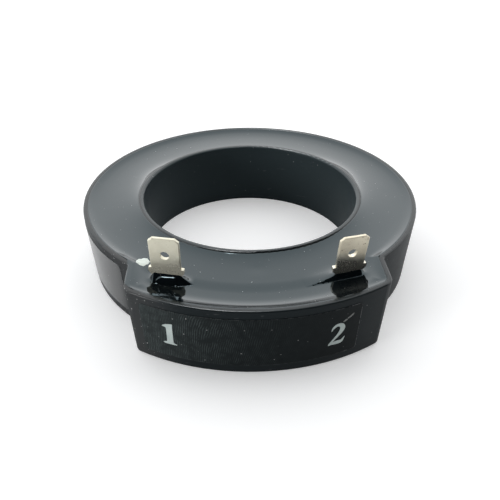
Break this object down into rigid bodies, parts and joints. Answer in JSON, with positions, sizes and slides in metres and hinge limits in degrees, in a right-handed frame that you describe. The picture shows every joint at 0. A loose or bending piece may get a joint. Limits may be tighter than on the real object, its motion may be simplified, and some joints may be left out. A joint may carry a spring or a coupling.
{
  "type": "current transformer",
  "caption": "Potted ring current transformer with a round bore for the conductors, a front boss and quick-connect tab terminals standing out of the cast resin.",
  "frame": {"origin": "on the bore axis, in the base plane that the ring stands on", "axes": "+Z along the bore axis towards the resin face and the terminals; -Y towards the boss that carries the terminals; terminal 1 on the -X side"},
  "size_m": [0.083, 0.0899, 0.0265],
  "materials": {
    "housing_plastic": "black moulded plastic, semi-gloss, with light scuffs",
    "potting_resin": "black cast resin, glossy",
    "terminal_metal": "dull tin plating with fine speckle",
    "label_film": "silver film printed black, satin",
    "marking_paint": "white paint, satin",
    "core_alloy": "wound bright alloy strip",
    "case_plastic": "natural moulded plastic",
    "pad_foam": "soft grey pad",
    "winding_copper": "enamelled copper wire",
    "tape_polyester": "translucent yellow polyester tape",
    "lead_copper": "tinned copper",
    "sleeve_tubing": "varnished insulating sleeve",
    "solder": "bright solder"
  },
  "bodies": {
    "root": {"housing": "housing_plastic", "potting_resin": "potting_resin", "terminal_1": "terminal_metal", "terminal_2": "terminal_metal", "number_label": "label_film", "side_label": "label_film", "paint_dot": "marking_paint", "core": "core_alloy", "core_case_tray": "case_plastic", "core_case_lid": "case_plastic", "core_pad_lower": "pad_foam", "core_pad_upper": "pad_foam", "secondary_winding": "winding_copper", "winding_tape": "tape_polyester", "lead_1": "lead_copper", "lead_2": "lead_copper", "sleeve_1": "sleeve_tubing", "sleeve_2": "sleeve_tubing", "solder_joint_1": "solder", "solder_joint_2": "solder"}
  },
  "joints": []
}
